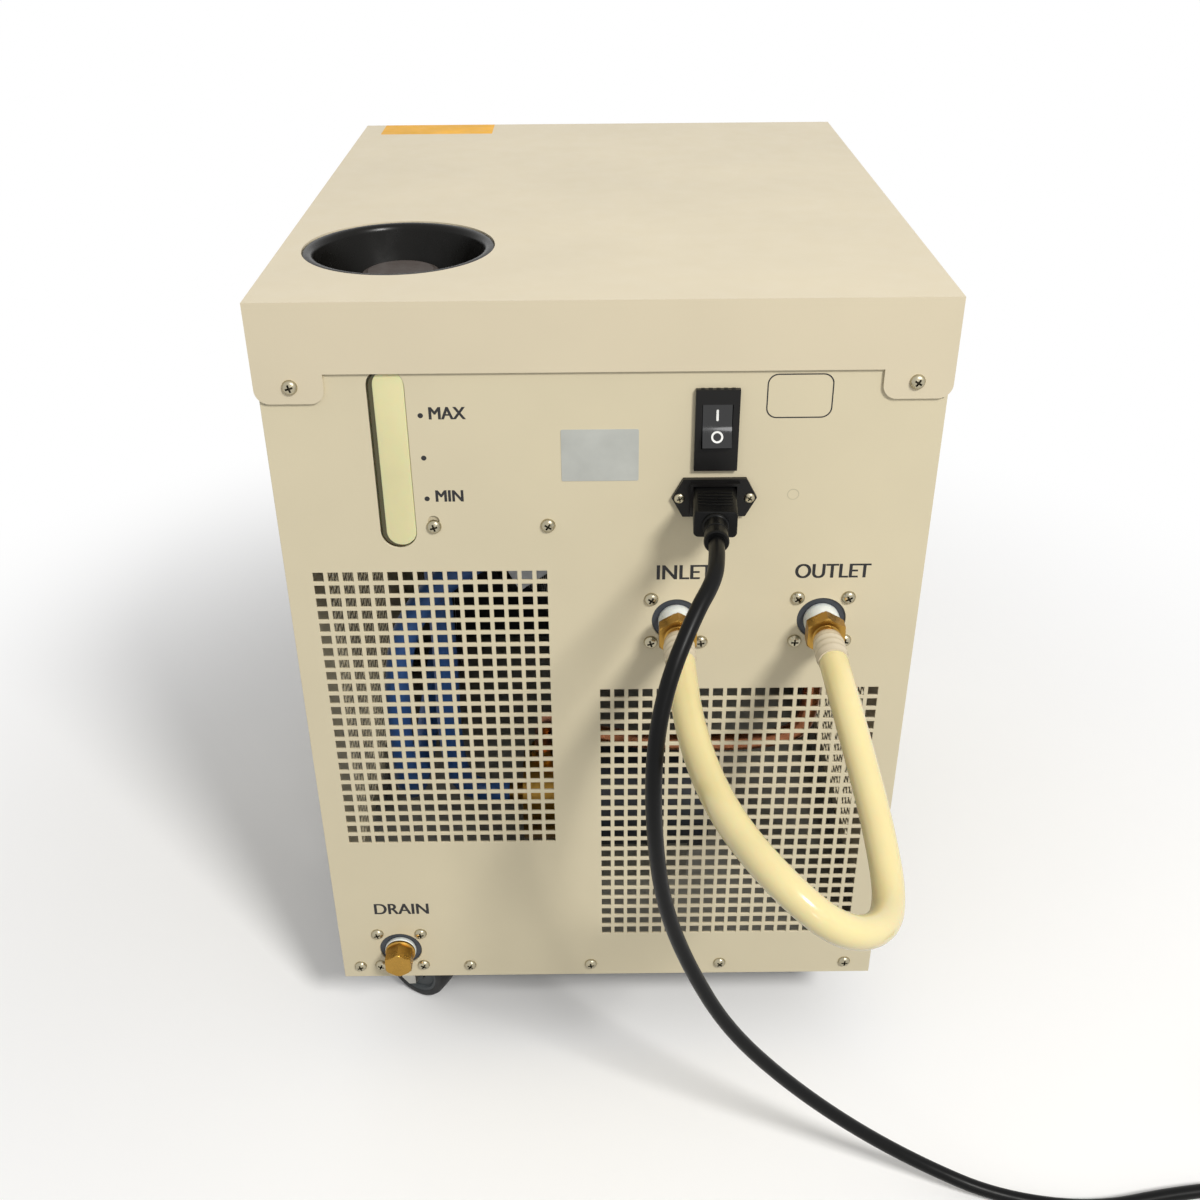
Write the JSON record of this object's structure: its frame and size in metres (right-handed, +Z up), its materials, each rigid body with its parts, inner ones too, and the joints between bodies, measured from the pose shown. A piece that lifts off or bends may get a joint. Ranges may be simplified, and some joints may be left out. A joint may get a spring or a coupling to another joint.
{
  "type": "recirculating heat exchanger",
  "caption": "Sheet metal coolant cabinet on casters with a filler well, perforated service panel, hose ports, looped hose and mains cord.",
  "frame": {"origin": "on the floor under the middle of the object's outer box, without the cord and the hose loop", "axes": "+Z up, -Y towards the person who faces the service panel, +X to that person's right"},
  "size_m": [0.7611, 0.6922, 0.5655],
  "materials": {
    "cabinet_paint": "fine textured powder coat",
    "lid_paint": "fine textured powder coat",
    "grey_paint": "smooth paint",
    "black_plastic": "moulded",
    "cap_plastic": "moulded",
    "tank_plastic": "translucent, blow moulded",
    "plate_steel": "dark coat",
    "brass": "turned",
    "zinc": "zinc plated",
    "tyre": "moulded tread",
    "core_metal": "fine fins",
    "black_steel": "semi gloss",
    "fan_blades": "pressed",
    "motor_paint": "semi gloss",
    "clear_hose": "clear, slightly yellowed",
    "blue_hose": "smooth",
    "copper": "drawn copper",
    "cord_rubber": "glossy jacket"
  },
  "bodies": {
    "cabinet": {"base_pan": "grey_paint", "rear_panel": "cabinet_paint", "side_panel_left": "cabinet_paint", "side_panel_right": "cabinet_paint", "front_panel": "cabinet_paint", "top_cover": "lid_paint", "filler_well": "black_plastic", "reservoir": "tank_plastic", "reservoir_bracket": "grey_paint", "port_plates": "plate_steel", "hose_barbs": "brass", "drain_plug": "brass", "power_inlet": "black_plastic", "breaker_housing": "black_plastic", "electrical_box": "grey_paint", "cover_screws": "zinc", "panel_screws": "zinc", "bracket_screws": "zinc", "port_screws": "zinc", "power_inlet_screws": "zinc", "caster_plates": "zinc", "radiator_core": "core_metal", "radiator_header_left": "core_metal", "radiator_header_right": "core_metal", "fan_shroud": "black_steel", "fan_motor": "black_steel", "fan_bracket": "zinc", "pump_motor": "motor_paint", "pump_head": "brass", "pump_foot": "zinc", "hose_loop": "clear_hose", "return_hose": "blue_hose", "suction_hose": "blue_hose", "outlet_pipe": "copper", "appliance_plug": "cord_rubber", "mains_cord": "cord_rubber", "cord_coil": "cord_rubber", "mains_plug": "cord_rubber"},
    "rocker": {"breaker_rocker": "black_plastic"},
    "fan": {"fan_rotor": "fan_blades"},
    "cap": {"filler_cap": "cap_plastic"},
    "fork_rear_left": {"caster_fork_rear_left": "zinc"},
    "wheel_rear_left": {"caster_wheel_rear_left": "tyre"},
    "fork_rear_right": {"caster_fork_rear_right": "zinc"},
    "wheel_rear_right": {"caster_wheel_rear_right": "tyre"},
    "fork_front_left": {"caster_fork_front_left": "zinc"},
    "wheel_front_left": {"caster_wheel_front_left": "tyre"},
    "fork_front_right": {"caster_fork_front_right": "zinc"},
    "wheel_front_right": {"caster_wheel_front_right": "tyre"}
  },
  "joints": [
    {"name": "rocker_tilt", "type": "hinge", "parent": "cabinet", "child": "rocker", "pos_m": [0.0626, -0.207, 0.4932], "axis": [1, 0, 0], "range_deg": [0, 24]},
    {"name": "fan_spin", "type": "hinge", "parent": "cabinet", "child": "fan", "pos_m": [0, 0.163, 0.254], "axis": [0, 1, 0], "continuous": true},
    {"name": "cap_lift", "type": "slide", "parent": "cabinet", "child": "cap", "axis": [0, 0, 1], "range_m": [0, 0.06]},
    {"name": "swivel_rear_left", "type": "hinge", "parent": "cabinet", "child": "fork_rear_left", "pos_m": [-0.1615, -0.144, 0.056], "axis": [0, 0, 1], "continuous": true},
    {"name": "roll_rear_left", "type": "hinge", "parent": "fork_rear_left", "child": "wheel_rear_left", "pos_m": [-0.14245, -0.155, 0.0254], "axis": [0.5, 0.866, 0], "continuous": true},
    {"name": "swivel_rear_right", "type": "hinge", "parent": "cabinet", "child": "fork_rear_right", "pos_m": [0.1615, -0.144, 0.056], "axis": [0, 0, 1], "continuous": true},
    {"name": "roll_rear_right", "type": "hinge", "parent": "fork_rear_right", "child": "wheel_rear_right", "pos_m": [0.1615, -0.122, 0.0254], "axis": [-1, 0, 0], "continuous": true},
    {"name": "swivel_front_left", "type": "hinge", "parent": "cabinet", "child": "fork_front_left", "pos_m": [-0.1615, 0.1891, 0.056], "axis": [0, 0, 1], "continuous": true},
    {"name": "roll_front_left", "type": "hinge", "parent": "fork_front_left", "child": "wheel_front_left", "pos_m": [-0.1505, 0.20815, 0.0254], "axis": [-0.866, 0.5, 0], "continuous": true},
    {"name": "swivel_front_right", "type": "hinge", "parent": "cabinet", "child": "fork_front_right", "pos_m": [0.1615, 0.1891, 0.056], "axis": [0, 0, 1], "continuous": true},
    {"name": "roll_front_right", "type": "hinge", "parent": "fork_front_right", "child": "wheel_front_right", "pos_m": [0.1522, 0.20904, 0.0254], "axis": [-0.9063, -0.4226, 0], "continuous": true}
  ]
}
